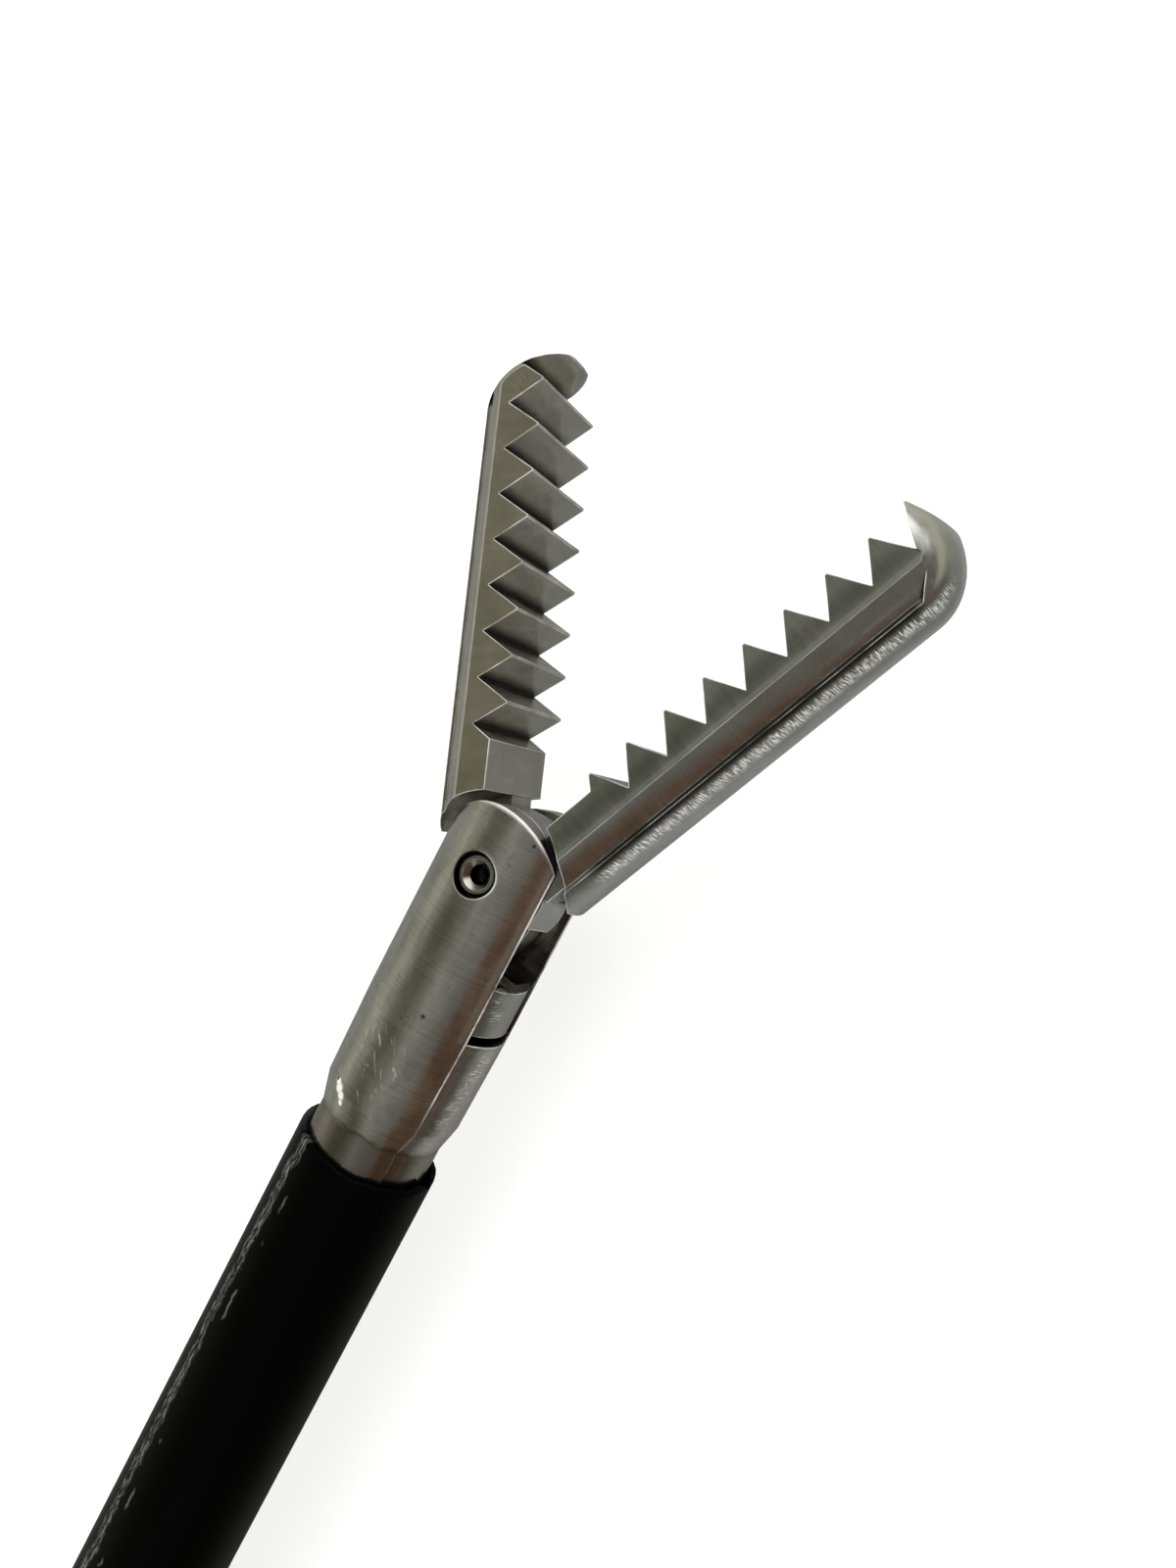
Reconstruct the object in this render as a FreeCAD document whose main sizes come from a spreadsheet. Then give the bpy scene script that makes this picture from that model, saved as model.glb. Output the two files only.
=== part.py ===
import FreeCAD, Part
import math
import os
import re
import Sketcher

# Laparoscopic grasper lying on its side: shaft along +X, jaw pin along Z,
# origin on the shaft axis where the bare sleeve starts, just ahead of the knob.

os.makedirs("parts", exist_ok=True)
doc = FreeCAD.newDocument("grasper")
sheet = doc.addObject("Spreadsheet::Sheet", "Sizes")
V = FreeCAD.Vector

sizes = [
    ("pivotX", 330.0, "jaw pin from the start of the bare sleeve"),
    ("shaftRad", 2.5, "insulated shaft and closed jaws"),
    ("tubeRad", 2.23, "steel tube, outside"),
    ("tubeBore", 1.85, "steel tube, inside"),
    ("fitGap", 0.02, "fixed seats on one body, radial"),
    ("runGap", 0.05, "running clearance, radial"),
    ("mouthBack", 10.54, "insulation mouth behind the jaw pin"),
    ("collarRad", 2.75, "moulded collar of the sleeve inside the knob"),
    ("collarFront", 0.2, "front of that collar behind the bare sleeve"),
    ("shoulderBack", 11.3, "fork shoulder behind the jaw pin"),
    ("coneBack", 9.45, "start of the cone behind the barrel"),
    ("coneFront", 8.5, "end of the cone"),
    ("spigotBack", 17.0, "fork spigot inside the tube"),
    ("neckRad", 2.24, "fork neck"),
    ("barrelRad", 2.46, "fork barrel"),
    ("earRad", 2.53, "ears, turned outside"),
    ("earTip", 2.33, "round end of the ears about the jaw pin"),
    ("stripDeep", 0.09, "milled side strips below the slot"),
    ("slotHalf", 1.5, "half the slot between the ears"),
    ("slotBack", 5.05, "slot floor behind the jaw pin"),
    ("stemRad", 1.2, "slider stem"),
    ("blockRad", 2.3, "slider block"),
    ("blockHalf", 1.44, "slider block, half thickness"),
    ("blockFront", 3.1, "slider front face at rest"),
    ("blockBack", 4.78, "slider rear face at rest"),
    ("stemBack", 13.0, "slider stem end at rest"),
    ("pocketDeep", 1.15, "relief for the jaw tangs"),
    ("pocketWide", 1.85, "relief, half width"),
    ("tongueHalf", 0.36, "slider tongue, half thickness"),
    ("tongueWide", 0.8, "slider tongue, half width"),
    ("tongueNose", 0.62, "tongue beyond the drive pin axis"),
    ("drivePinRad", 0.4, "drive pin"),
    ("camFar", 2.55, "drive pin behind the jaw pin, jaws open"),
    ("jawPinRad", 0.67, "jaw pin"),
    ("jawPinTop", 2.3, "upper end face of the jaw pin"),
    ("dimpleRad", 0.5, "dished end of the jaw pin"),
    ("pinHole", 0.32, "centre hole in the end of the jaw pin"),
    ("pinEdge", 0.07, "bevel on the ends of the jaw pin"),
    ("pinGroove", 0.08, "groove round the ends of the jaw pin, wide"),
    ("openAngle", 23.45, "each jaw at rest"),
    ("overClose", 0.3, "travel past parallel until the claws meet"),
    ("hubRad", 2.3, "jaw hub at the middle plane"),
    ("hubTopRad", 2.08, "jaw hub at its outer face"),
    ("hubOuter", 1.45, "outer face of each hub"),
    ("hubInner", 0.03, "inner face of each hub"),
    ("bossRad", 1.42, "hub behind the jaw pin"),
    ("tangInner", 0.42, "inner face of each tang"),
    ("tangHalf", 0.74, "half width of each tang"),
    ("baseRad", 2.68, "hollow base of each jaw"),
    ("toothPitch", 1.5, "tooth spacing"),
    ("toothTop", 0.23, "tooth crest past the middle plane"),
    ("toothRoot", 0.9, "tooth root from the middle plane"),
    ("crestFlat", 0.08, "flat on each tooth crest"),
    ("hookTop", 0.45, "end claw past the middle plane"),
    ("hookBack", 0.15, "end claw drawn back from the tooth spacing"),
    ("landDrop", 0.22, "plain land from the middle plane"),
    ("firstRight", 4.8, "first crest of the right jaw"),
    ("firstLeft", 5.5, "first crest of the left jaw"),
    ("jawFlat", 2.05, "half width across the jaw flats"),
    ("jawSkin", 2.4, "jaw side below the flats"),
    ("railHalf", 1.45, "proud back rail, half width"),
    ("sideEnd", 15.1, "end of the side cut at the back rail"),
    ("noseStart", 15.3, "start of the rounded nose"),
    ("noseLong", 2.15, "length of the rounded nose"),
    ("leverArm", 4.5, "lever pivot above the rod axis"),
    ("leverHalf", 7.0, "half of the lever's swing"),
    ("rodRad", 0.8, "push rod"),
    ("ballRad", 1.5, "ball on the push rod"),
    ("knobLong", 22.0, "rotation knob"),
    ("knobRad", 7.0, "rotation knob, outside"),
    ("knobGap", 2.0, "handle behind the knob"),
    ("faceBack", 0.5, "knob's front face behind the bare sleeve"),
    ("fluteRad", 3.0, "finger flutes of the knob"),
    ("ferruleWall", 0.77, "wall of the ferrule on the tube"),
    ("flangeWall", 1.6, "height of the ferrule's flange"),
    ("chamberGap", 0.3, "bearing chamber round the flange"),
    ("housingLong", 46.0, "handle housing, front to back"),
    ("housingHigh", 17.0, "housing above and below the shaft"),
    ("handleHalf", 7.0, "half thickness of the handle"),
    ("cornerRad", 5.0, "outline corners of the handle"),
    ("armBlend", 14.0, "curves from the housing into the arm"),
    ("rimRad", 2.2, "rounding along the handle's edges"),
    ("panelDeep", 0.5, "recessed side panels"),
    ("armHalf", 8.5, "half width of the handle's arm"),
    ("slitHalf", 2.8, "half width of the lever slit"),
    ("leverBack", 26.0, "lever pivot behind the housing's front"),
    ("leverThick", 2.5, "half thickness of the lever"),
    ("leverWide", 5.5, "half width of the lever at its pivot"),
    ("leverRim", 0.9, "rounding along the lever's edges"),
    ("fingerBack", 13.0, "finger ring behind the housing's front"),
    ("fingerY", 66.0, "finger ring centre below the shaft"),
    ("fingerRad", 19.5, "finger ring, outside"),
    ("fingerWall", 6.0, "finger ring, wall"),
    ("thumbX", 36.0, "thumb ring centre behind the lever pivot"),
    ("thumbY", 68.0, "thumb ring centre below the lever pivot"),
    ("thumbRad", 15.5, "thumb ring, outside"),
    ("thumbWall", 4.0, "thumb ring, wall"),
    ("linerWall", 1.5, "thumb ring liner"),
    ("boltRad", 2.0, "lever pivot bolt"),
    ("headRad", 3.5, "head and nut of that bolt"),
    ("headHigh", 1.2, "height of that head and nut"),
    ("plugRad", 2.0, "electrode plug"),
    ("plugRoot", 1.8, "electrode plug inside its bush"),
    ("bushRad", 3.0, "bush of the electrode plug"),
    ("plugAhead", 10.0, "electrode plug ahead of the housing's back"),
    ("portBack", 12.0, "flush port behind the housing's front"),
    ("portStem", 2.2, "flush port inside the housing"),
]
for row, (name, value, note) in enumerate(sizes, start=1):
    sheet.set(f"A{row}", note)
    sheet.set(f"B{row}", str(value))
    sheet.setAlias(f"B{row}", name)
doc.recompute()

names = {name for name, _, _ in sizes}


def num(text):
    return float(sheet.evalExpression(text))


def ex(text):
    return re.sub(r"[A-Za-z]\w*", lambda m: f"Sizes.{m[0]}" if m[0] in names else m[0], str(text))


def bind(obj, **exprs):
    for prop, text in exprs.items():
        obj.setExpression(prop, ex(text))
    return obj


def place(obj, x="0", y="0", z="0", turn=None, angle=None):
    for axis, text in zip("xyz", (x, y, z)):
        obj.setExpression(f"Placement.Base.{axis}", ex(text))
    if turn:
        obj.Placement.Rotation = FreeCAD.Rotation(V(*turn), angle)
    return obj


def label(obj, text):
    obj.Label = text
    return obj


alongX = ((0, 1, 0), 90)
alongY = ((1, 0, 0), -90)


def cylinder(name, radius, height, x="0", y="0", z="0", along=None):
    obj = bind(doc.addObject("Part::Cylinder", name), Radius=radius, Height=height)
    return place(obj, x, y, z, *(along or ()))


def box(name, x0, x1, y0, y1, z0, z1):
    obj = doc.addObject("Part::Box", name)
    bind(obj, Length=f"({x1}) - ({x0})", Width=f"({y1}) - ({y0})", Height=f"({z1}) - ({z0})")
    return place(obj, x0, y0, z0)


def cone(name, r1, r2, height, x="0", y="0", z="0", along=None):
    obj = bind(doc.addObject("Part::Cone", name), Radius1=r1, Radius2=r2, Height=height)
    return place(obj, x, y, z, *(along or ()))


def sphere(name, radius, x="0", y="0", z="0"):
    return place(bind(doc.addObject("Part::Sphere", name), Radius=radius), x, y, z)


def fuse(name, *shapes):
    obj = doc.addObject("Part::MultiFuse", name)
    obj.Shapes = list(shapes)
    obj.Refine = True
    return obj


def common(name, *shapes):
    obj = doc.addObject("Part::MultiCommon", name)
    obj.Shapes = list(shapes)
    obj.Refine = True
    return obj


def cut(name, base, *tools):
    obj = doc.addObject("Part::Cut", name)
    obj.Base = base
    obj.Tool = tools[0] if len(tools) == 1 else fuse(f"{name}Tools", *tools)
    obj.Refine = True
    return obj


def sketch(body, name, plane):
    flat = body.newObject("Sketcher::SketchObject", name)
    origin = [f for f in body.Origin.OriginFeatures if f.Role == plane][0]
    flat.AttachmentSupport = [(origin, "")]
    flat.MapMode = "FlatFace"
    return flat


def polygon(flat, points):
    count = len(points)
    ring = [V(math.cos(a), math.sin(a), 0) for a in (2 * math.pi * i / count for i in range(count))]
    first = len(flat.Geometry)
    for i in range(count):
        flat.addGeometry(Part.LineSegment(ring[i], ring[(i + 1) % count]), False)
    for i in range(count):
        flat.addConstraint(Sketcher.Constraint("Coincident", first + i, 2, first + (i + 1) % count, 1))
    for i, (x, y) in enumerate(points):
        for kind, text, start in (("DistanceX", x, ring[i].x), ("DistanceY", y, ring[i].y)):
            index = flat.addConstraint(Sketcher.Constraint(kind, -1, 1, first + i, 1, start))
            tag = f"{kind[-1].lower()}{first + i}"
            flat.renameConstraint(index, tag)
            flat.setExpression(f"Constraints.{tag}", ex(text))
    return flat


def circle(flat, radius, x="0", y="0"):
    index = len(flat.Geometry)
    flat.addGeometry(Part.Circle(V(1, 1, 0), V(0, 0, 1), 1), False)
    for kind, text, tag in (("DistanceX", x, "cx"), ("DistanceY", y, "cy")):
        n = flat.addConstraint(Sketcher.Constraint(kind, -1, 1, index, 3, 1.0))
        flat.renameConstraint(n, f"{tag}{index}")
        flat.setExpression(f"Constraints.{tag}{index}", ex(text))
    n = flat.addConstraint(Sketcher.Constraint("Radius", index, 1.0))
    flat.renameConstraint(n, f"r{index}")
    flat.setExpression(f"Constraints.r{index}", ex(radius))
    return flat


def turned(name, profile):
    body = doc.addObject("PartDesign::Body", name)
    flat = polygon(sketch(body, f"{name}Profile", "XY_Plane"), profile)
    turn = body.newObject("PartDesign::Revolution", f"{name}Turn")
    turn.Profile = flat
    turn.ReferenceAxis = (flat, ["H_Axis"])
    turn.Angle = 360
    body.Tip = turn
    return body


def plate(name, half, points=None, circles=()):
    body = doc.addObject("PartDesign::Body", name)
    flat = sketch(body, f"{name}Outline", "XY_Plane")
    if points:
        polygon(flat, points)
    for spec in circles:
        circle(flat, *spec)
    pad = body.newObject("PartDesign::Pad", f"{name}Pad")
    pad.Profile = flat
    pad.Midplane = True
    pad.setExpression("Length", ex(f"2 * ({half})"))
    body.Tip = pad
    return body


def soften(body, name, radius, chosen):
    # rounds the edges of the body's tip that chosen() picks
    doc.recompute()
    base = body.Tip
    edges = [f"Edge{i}" for i, edge in enumerate(base.Shape.Edges, start=1) if chosen(edge)]
    round_off = body.newObject("PartDesign::Fillet", name)
    round_off.Base = (base, edges)
    round_off.setExpression("Radius", ex(radius))
    body.Tip = round_off
    return body


def upright_at(spots):
    def chosen(edge):
        (a, b) = (v.Point for v in edge.Vertexes) if len(edge.Vertexes) == 2 else (V(), V())
        return abs(a.z - b.z) > 0.1 and any(math.hypot(a.x - x, a.y - y) < 0.01 for x, y in spots)
    return chosen


def on_faces(half):
    high = num(half)
    return lambda edge: all(abs(abs(v.Z) - high) < 1e-4 for v in edge.Vertexes)


def round_at(radius):
    size = num(radius)
    return lambda edge: hasattr(edge.Curve, "Radius") and abs(edge.Curve.Radius - size) < 1e-4


def form(name, half, corners, rim):
    # plate whose outline corners are (x, y, radius), rounded along both faces
    body = plate(name, half, [(x, y) for x, y, _ in corners])
    groups = {}
    for x, y, radius in corners:
        groups.setdefault(radius, []).append((num(x), num(y)))
    for number, (radius, spots) in enumerate(groups.items()):
        soften(body, f"{name}Corner{number}", radius, upright_at(spots))
    return soften(body, f"{name}Rim", rim, on_faces(half)) if rim else body


def ring(name, half, outer, inner, rim, x, y):
    body = plate(name, half, circles=[(outer, x, y), (inner, x, y)])
    return soften(body, f"{name}Rim", rim, on_faces(half))


def cam_path():
    # Places of the drive pin seen from the right jaw, from closed to open.
    near = num("camFar") - 2 * num("leverArm") * math.tan(math.radians(num("leverHalf")))
    travel = num("openAngle") + num("overClose")
    path = []
    for share in (0.0, 0.5, 1.0):
        reach = near + (num("camFar") - near) * share
        turn = math.radians(travel * share - num("overClose"))
        path.append(V(-reach * math.cos(turn), -reach * math.sin(turn), 0))
    return path


def cam_band(half, low, high):
    start, middle, end = cam_path()
    centre = Part.Arc(start, middle, end).toShape().Curve.Center
    outer, inner = [], []
    for point in (start, middle, end):
        away = (point - centre).normalize()
        outer.append(point + away * half)
        inner.append(point - away * half)
    cap = (end - centre).normalize().cross(V(0, 0, 1))
    if cap.dot(end - start) < 0:
        cap = -cap
    tail = (start - centre).normalize().cross(V(0, 0, 1))
    if tail.dot(start - end) < 0:
        tail = -tail
    edges = [
        Part.Arc(outer[0], outer[1], outer[2]).toShape(),
        Part.Arc(outer[2], end + cap * half, inner[2]).toShape(),
        Part.Arc(inner[2], inner[1], inner[0]).toShape(),
        Part.Arc(inner[0], start + tail * half, outer[0]).toShape(),
    ]
    face = Part.Face(Part.Wire(edges))
    face.translate(V(0, 0, low))
    return face.extrude(V(0, 0, high - low))


def tooth_line(first):
    # outline of the tooth row, from the plain land to the end claw
    if first == "firstLeft":
        points = [(f"{first} - toothPitch / 2 - toothPitch * (toothRoot - landDrop)"
                   " / (toothTop + toothRoot) / 2", "-landDrop"),
                  (f"{first} - toothPitch / 2", "-toothRoot")]
    else:
        points = [(f"{first} - toothPitch * (toothTop + landDrop) / (toothTop + toothRoot) / 2",
                   "-landDrop")]
    for i in range(8):
        crest = f"{first} + {i} * toothPitch"
        points.append((f"{crest} - crestFlat / 2", "toothTop"))
        points.append((f"{crest} + crestFlat / 2", "toothTop"))
        points.append((f"{crest} + toothPitch / 2", "-toothRoot"))
    claw = f"{first} + 8 * toothPitch - hookBack"
    points.append((f"{claw} - crestFlat / 2", "hookTop"))
    points.append((f"{claw} + crestFlat / 2", "hookTop"))
    points.append((f"{claw} + toothPitch * 0.45", "-toothRoot"))
    return points


def jaw_blank(name, first):
    bar = cylinder(f"{name}Bar", "shaftRad", "noseStart - 1.2", x="1.2", along=alongX)
    nose = doc.addObject("Part::Ellipsoid", f"{name}Nose")
    bind(nose, Radius1="noseLong", Radius2="shaftRad", Radius3="shaftRad")
    place(nose, x="noseStart", turn=(0, 1, 0), angle=90)
    outline = [("1", "-3"), ("1", "-landDrop")] + tooth_line(first)
    outline += [("noseStart + noseLong + 2", "-toothRoot"), ("noseStart + noseLong + 2", "-3")]
    return common(f"{name}Blank", fuse(f"{name}Round", bar, nose), plate(f"{name}Form", "3", outline))


def jaw_sides(name, first):
    # milled away on both sides, up to the proud back rail and the nose
    last = f"{first} + 7.5 * toothPitch"
    side = [("0.5", "1"), ("0.5", "-3"), ("sideEnd - 0.3", "-3"), ("sideEnd", "-2.2"),
            (f"{last} + 0.1", "-1.25"), (last, "-toothRoot"), (last, "1")]
    core = common(f"{name}Core", cylinder(f"{name}Skin", "jawSkin", "20", along=alongX),
                  box(f"{name}Flat", "0", "20", "-3", "3", "-jawFlat", "jawFlat"))
    rail = box(f"{name}Rail", "0", "20", "-3", "3", "-railHalf", "railHalf")
    return cut(f"{name}Milled", plate(f"{name}Sides", "3", side), core, rail)


def jaw_root(name):
    hub = cone(f"{name}Hub", "hubRad", "hubTopRad", "hubOuter - hubInner", z="hubInner")
    hub.Angle = 180
    hub.Placement.Rotation = FreeCAD.Rotation(V(0, 0, 1), -90)
    neck = box(f"{name}Neck", "1.1", "baseRad + 0.35", "-1.9", "-landDrop - 0.05", "hubInner", "hubOuter")
    boss = cylinder(f"{name}Boss", "bossRad", "hubOuter - tangInner", z="tangInner")
    tang = doc.addObject("Part::Feature", f"{name}Tang")
    tang.Shape = cam_band(num("tangHalf"), num("tangInner"), num("hubOuter"))
    return hub, neck, boss, tang


def jaw(name, first, roll, turn):
    arm = cut(f"{name}Arm", jaw_blank(name, first), jaw_sides(name, first),
              cylinder(f"{name}Hollow", "baseRad", "8", z="-4"))
    whole = fuse(f"{name}Whole", arm, *jaw_root(name))
    cam = doc.addObject("Part::Feature", f"{name}Cam")
    cam.Shape = cam_band(num("drivePinRad") + num("runGap"), -1, 3)
    eye = cylinder(f"{name}Eye", "jawPinRad + runGap", "6", z="-3")
    done = label(cut(name, whole, cam, eye), name)
    done.Placement = FreeCAD.Placement(V(0, 0, 0), FreeCAD.Rotation(V(0, 0, 1), turn)
                                       * FreeCAD.Rotation(V(1, 0, 0), roll))
    return place(done, x="pivotX")


# Working end
jaw_right = jaw("jaw_right", "firstRight", 0, -num("openAngle"))
jaw_left = jaw("jaw_left", "firstLeft", 180, num("openAngle"))

fork = turned("forkTurned", [
    ("-spigotBack", "stemRad + runGap"), ("-spigotBack", "tubeBore - fitGap"),
    ("-shoulderBack", "tubeBore - fitGap"), ("-shoulderBack", "neckRad"),
    ("-coneBack", "neckRad"), ("-coneFront", "barrelRad"), ("-slotBack", "earRad"),
    ("earTip + 0.4", "earRad"), ("earTip + 0.4", "0"),
    ("-slotBack + 0.2", "0"), ("-slotBack + 0.2", "stemRad + runGap"),
])
slot = box("forkSlot", "-slotBack", "4", "-3", "3", "-slotHalf", "slotHalf")
ends = cut("forkEnds", box("forkAhead", "0", "4", "-3", "3", "-3", "3"),
           cylinder("forkEndRound", "earTip", "6", z="-3"))
strip_core = turned("forkStripCore", [
    ("-shoulderBack - 1", "0"), ("-shoulderBack - 1", "neckRad - stripDeep"),
    ("-coneBack", "neckRad - stripDeep"), ("-coneFront", "barrelRad - stripDeep"),
    ("-slotBack", "earRad - stripDeep"), ("-slotBack + 1", "earRad - stripDeep"), ("-slotBack + 1", "0")])
strips = cut("forkStrips", box("forkBand", "-shoulderBack", "-slotBack + 0.1", "-3", "3",
                               "-slotHalf", "slotHalf"), strip_core)
fork_eye = cylinder("forkEye", "jawPinRad + fitGap", "6", z="-3")
grooves = cut("forkGrooves", cylinder("forkGrooveRound", "jawPinRad + pinGroove", "6", z="-3"),
              cylinder("forkGrooveFloor", "3", "2 * (jawPinTop - 3 * pinEdge)",
                       z="-jawPinTop + 3 * pinEdge"))
clevis = label(cut("clevis", fork, slot, ends, strips, fork_eye, grooves), "clevis")
place(clevis, x="pivotX")

pin_form = fuse("pinForm", cylinder("pinBody", "jawPinRad", "2 * (jawPinTop - pinEdge)",
                                    z="-jawPinTop + pinEdge"),
                cone("pinUpper", "jawPinRad", "jawPinRad - pinEdge", "pinEdge", z="jawPinTop - pinEdge"),
                cone("pinLower", "jawPinRad - pinEdge", "jawPinRad", "pinEdge", z="-jawPinTop"))
pivot_pin = label(cut("pivot_pin", pin_form,
                      cone("pinDish", "pinHole", "dimpleRad", "dimpleRad - pinHole",
                           z="jawPinTop - dimpleRad + pinHole"),
                      cylinder("pinCentre", "pinHole", "0.7", z="jawPinTop - 0.7"),
                      cone("pinPoint", "0.02", "pinHole", "0.18", z="jawPinTop - 0.88")), "pivot_pin")
place(pivot_pin, x="pivotX")

block = common("sliderBlock", cylinder("sliderRound", "blockRad", "blockBack - blockFront",
                                       x="-blockBack", along=alongX),
               box("sliderSlab", "-blockBack", "-blockFront", "-3", "3", "-blockHalf", "blockHalf"))
reliefs = [box(f"sliderRelief{i}", "-blockFront - pocketDeep", "-blockFront + 1",
               "-pocketWide", "pocketWide", low, high)
           for i, (low, high) in enumerate((("tongueHalf", "2"), ("-2", "-tongueHalf")))]
tongue = box("sliderTongue", "-blockFront - 0.2", "-camFar + tongueNose", "-tongueWide", "tongueWide",
             "-tongueHalf", "tongueHalf")
stem = cylinder("sliderStem", "stemRad", "stemBack - blockBack + 0.2", x="-stemBack", along=alongX)
slider = label(cut("slider", fuse("sliderWhole", cut("sliderCheeks", block, *reliefs), tongue, stem),
                   cylinder("sliderEye", "drivePinRad", "4", x="-camFar", z="-2"),
                   cylinder("sliderBore", "rodRad", "4", x="-stemBack - 1", along=alongX)), "slider")
place(slider, x="pivotX")

drive_pin = label(cylinder("drive_pin", "drivePinRad", "2 * blockHalf - 0.06", x="pivotX - camFar",
                           z="-blockHalf + 0.03"), "drive_pin")

# Shaft
front = "(knobLong + knobGap)"
lever = f"({front} + leverBack)"
back = f"({front} + housingLong)"
finger = f"({front} + fingerBack)"
plug = f"({back} - plugAhead)"
port = f"({front} + portBack)"
ferrule = "(tubeRad + ferruleWall)"
flange = f"({ferrule} + flangeWall)"
chamber = f"({flange} + chamberGap)"
tube_front = "pivotX - shoulderBack"
outer_tube = label(cut("outer_tube",
                       cylinder("tubeOut", "tubeRad", f"{tube_front} + {front} + 10",
                                x=f"-{front} - 10", along=alongX),
                       cylinder("tubeIn", "tubeBore", f"{tube_front} + {front} + 12",
                                x=f"-{front} - 11", along=alongX)), "outer_tube")
sleeve = label(turned("insulation_sleeve", [
    ("-4", "neckRad + 0.01"), ("-4", "collarRad"), ("-collarFront", "collarRad"),
    ("-collarFront", "shaftRad"), ("pivotX - mouthBack", "shaftRad"),
    ("pivotX - mouthBack", "neckRad + 0.01")]), "insulation_sleeve")
ball_x = f"(-{lever} - leverArm * tan(leverHalf))"
push_rod = label(cylinder("push_rod", "rodRad", f"pivotX - stemBack + 3 - {ball_x}", x=ball_x,
                          along=alongX), "push_rod")
rod_ball = label(cut("rod_ball", fuse("ballWhole", sphere("ballRound", "ballRad", x=ball_x),
                                      cylinder("ballNeck", "rodRad + 0.35", "ballRad + 2.5", x=ball_x,
                                               along=alongX)),
                     cylinder("ballBore", "rodRad", "ballRad + 3.5", x=ball_x, along=alongX)),
                 "rod_ball")
rod_seal = label(turned("rod_seal", [
    ("-12", "rodRad + runGap"), ("-12", "tubeBore - 0.3"), ("-11", "tubeBore - fitGap"),
    ("-5", "tubeBore - fitGap"), ("-4", "tubeBore - 0.3"), ("-4", "rodRad + runGap")]), "rod_seal")

# Rotation knob and its bearing
knob_form = turned("knobForm", [
    ("-knobLong", f"{ferrule} + fitGap"), ("-knobLong", "knobRad"), ("-knobLong * 0.3", "knobRad"),
    ("-faceBack", "knobRad * 0.64"), ("-faceBack", "collarRad + fitGap"),
    ("-5", "collarRad + fitGap"), ("-5", f"{ferrule} + fitGap")])
soften(knob_form, "knobShoulder", "knobRad * 0.2", round_at("knobRad"))
soften(knob_form, "knobNose", "knobRad * 0.1", round_at("knobRad * 0.64"))
flutes = [place(bind(doc.addObject("Part::Cylinder", f"knobFlute{i}"), Radius="fluteRad",
                     Height="knobLong"),
                x="-knobLong * 0.86",
                y=f"(knobRad + fluteRad * 0.72) * cos({60 * i})",
                z=f"(knobRad + fluteRad * 0.72) * sin({60 * i})", turn=alongX[0], angle=alongX[1])
          for i in range(6)]
screw_hole = cylinder("knobHole", "1.02", "8", x="-knobLong * 0.68", y=f"{ferrule} - 0.2", along=alongY)
knob = label(cut("knob", knob_form, screw_hole, *flutes), "knob")
knob_screw = label(cut("knob_screw",
                       cylinder("screwForm", "1", f"knobRad - {ferrule} - 1.6", x="-knobLong * 0.68",
                                y=f"{ferrule} + fitGap", along=alongY),
                       box("screwSlot", "-knobLong * 0.68 - 1.2", "-knobLong * 0.68 + 1.2",
                           "knobRad - 2.1", "knobRad", "-0.15", "0.15")), "knob_screw")
tube_ferrule = label(turned("tube_ferrule", [
    (f"-{front} - 10", "tubeRad + fitGap"), (f"-{front} - 10", ferrule), (f"-{front} - 5.5", ferrule),
    (f"-{front} - 5.5", flange), (f"-{front} - 3.5", flange), (f"-{front} - 3.5", ferrule),
    ("-5.1", ferrule), ("-5.1", "tubeRad + fitGap")]), "tube_ferrule")
front_bearing = label(turned("front_bearing", [
    (f"-{front} - 3.4", f"{ferrule} + runGap"), (f"-{front} - 3.4", chamber), (f"-{front}", chamber),
    (f"-{front}", f"{chamber} + 0.9"), (f"-{front} + 0.9", f"{chamber} + 0.9"),
    (f"-{front} + 0.9", f"{ferrule} + runGap")]), "front_bearing")
rear_bearing = label(turned("rear_bearing", [
    (f"-{front} - 9", f"{ferrule} + runGap"), (f"-{front} - 9", chamber),
    (f"-{front} - 5.6", chamber), (f"-{front} - 5.6", f"{ferrule} + runGap")]), "rear_bearing")

# Fixed handle: housing, arm and finger ring in one moulding
finger_hole = "(fingerRad - fingerWall)"
thumb_hole = "(thumbRad - thumbWall)"
arm_end = f"-fingerY + {finger_hole} + fingerWall / 3"
housing = form("housingForm", "handleHalf", [
    (f"-{front}", "-housingHigh * 0.82", "cornerRad"), (f"-{front}", "housingHigh * 0.8", "cornerRad"),
    (f"-{front} - housingHigh * 0.4", "housingHigh", "cornerRad"),
    (f"-{back} + housingHigh * 0.55", "housingHigh", "cornerRad * 1.6"),
    (f"-{back}", "housingHigh * 0.4", "cornerRad"), (f"-{back}", "-housingHigh * 0.3", "cornerRad"),
    (f"-{finger} - armHalf * 1.9", "-housingHigh * 1.2", "armBlend"),
    (f"-{finger} - armHalf * 1.25", arm_end, "cornerRad * 0.6"),
    (f"-{finger} + armHalf * 0.8", arm_end, "cornerRad * 0.6"),
    (f"-{finger} + armHalf * 0.7", "-housingHigh * 1.65", "armBlend")], "rimRad")
finger_ring = ring("fingerForm", "handleHalf", "fingerRad", finger_hole, "fingerWall * 0.36",
                   f"-{finger}", "-fingerY")
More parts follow.
